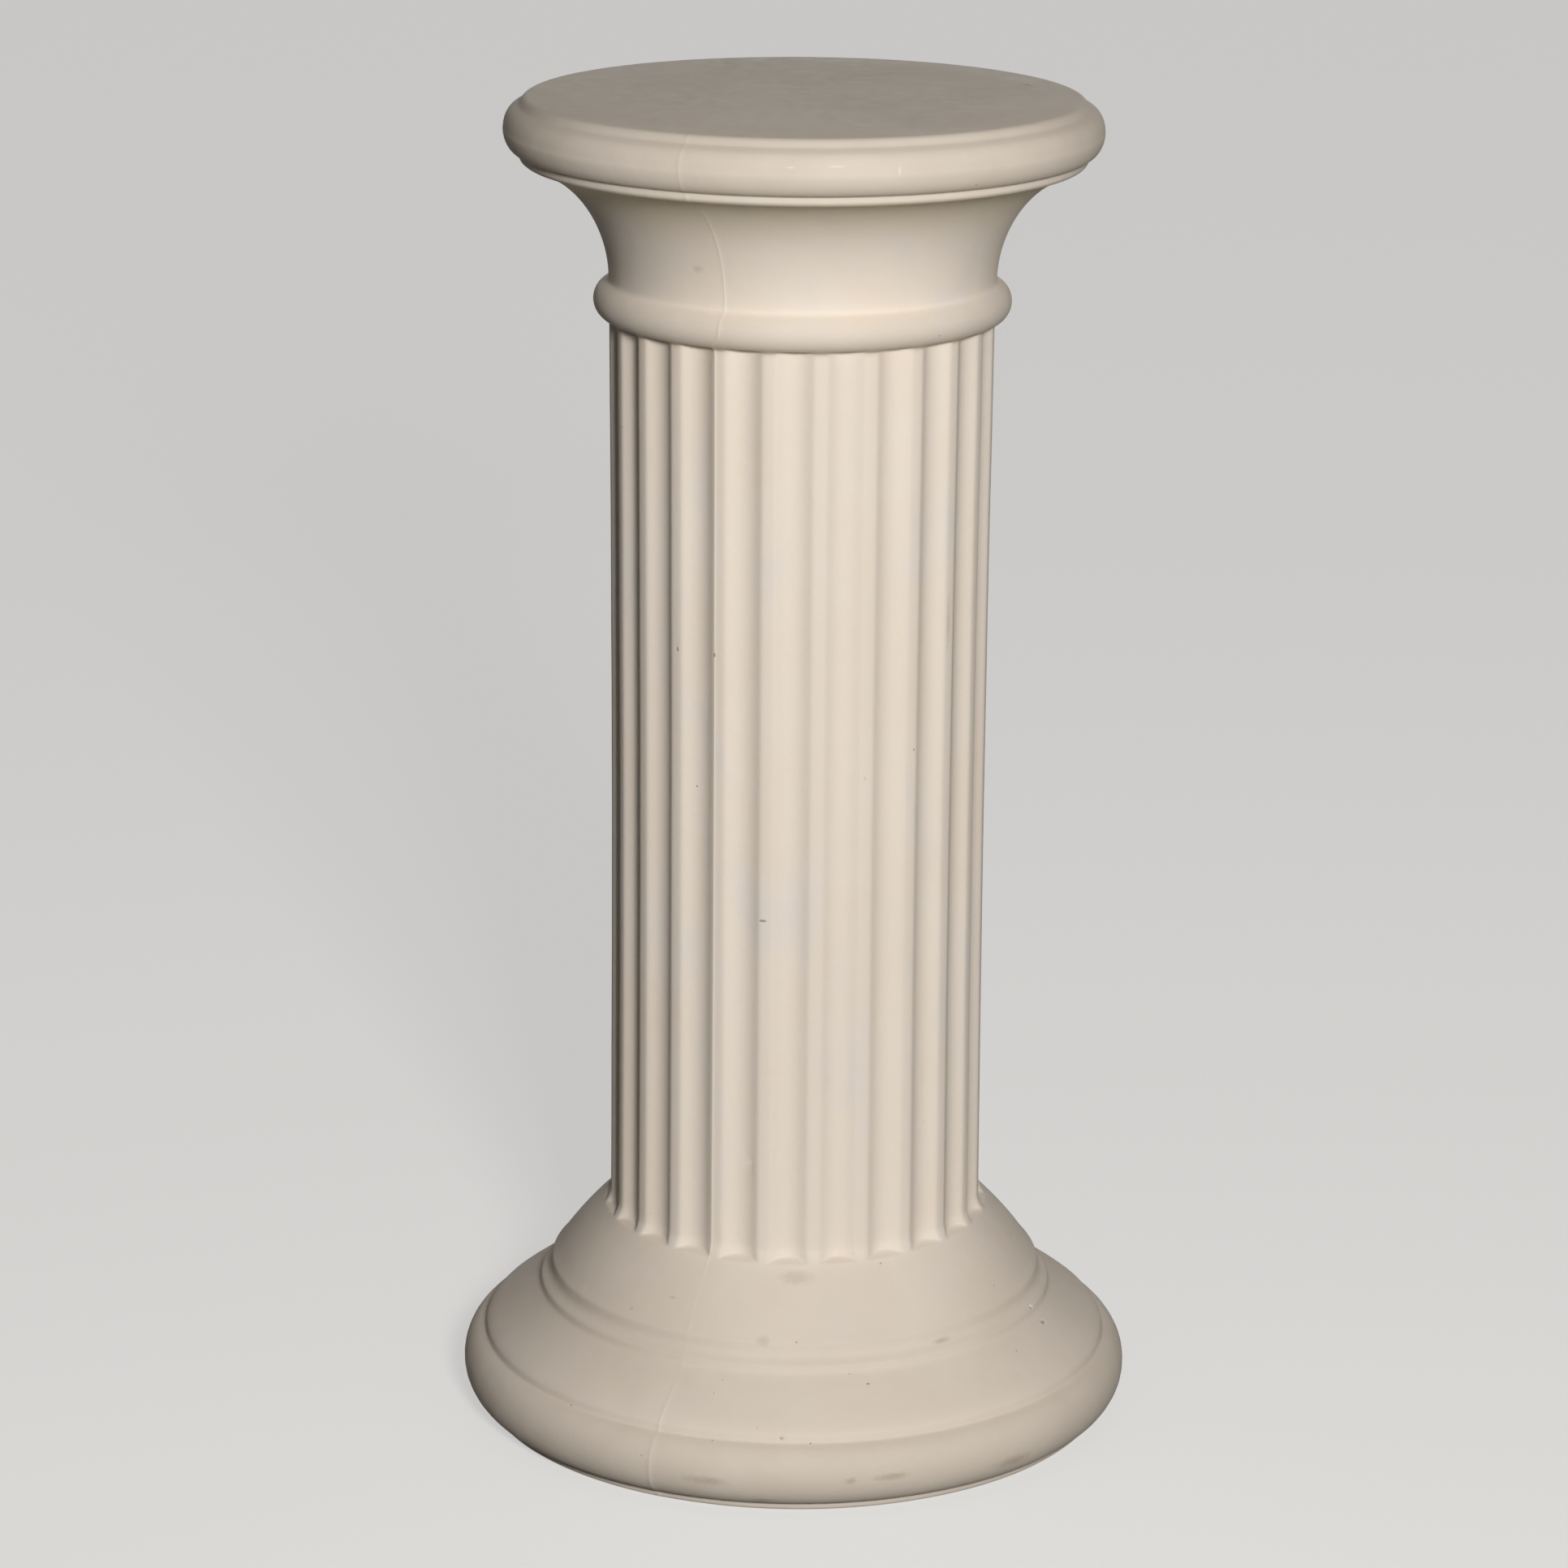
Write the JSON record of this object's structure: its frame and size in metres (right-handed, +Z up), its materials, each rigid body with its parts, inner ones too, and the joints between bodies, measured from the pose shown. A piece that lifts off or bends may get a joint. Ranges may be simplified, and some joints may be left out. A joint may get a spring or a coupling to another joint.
{
  "type": "doric column",
  "caption": "Round fluted column with a stepped rolled foot, an astragal and a coved, rolled head with a flat round top for display.",
  "frame": {"origin": "centre of the flat underside", "axes": "+Z up along the column's axis; -Y towards the front, where a fillet between two flutes is centred"},
  "size_m": [0.3619, 0.362, 0.711],
  "materials": {
    "moulded_ivory": "Ivory moulded resin, matte to slightly satin, soft edged, faintly mottled, with small pits, scuffs and brown specks"
  },
  "bodies": {
    "root": {"column": "moulded_ivory"}
  },
  "joints": []
}
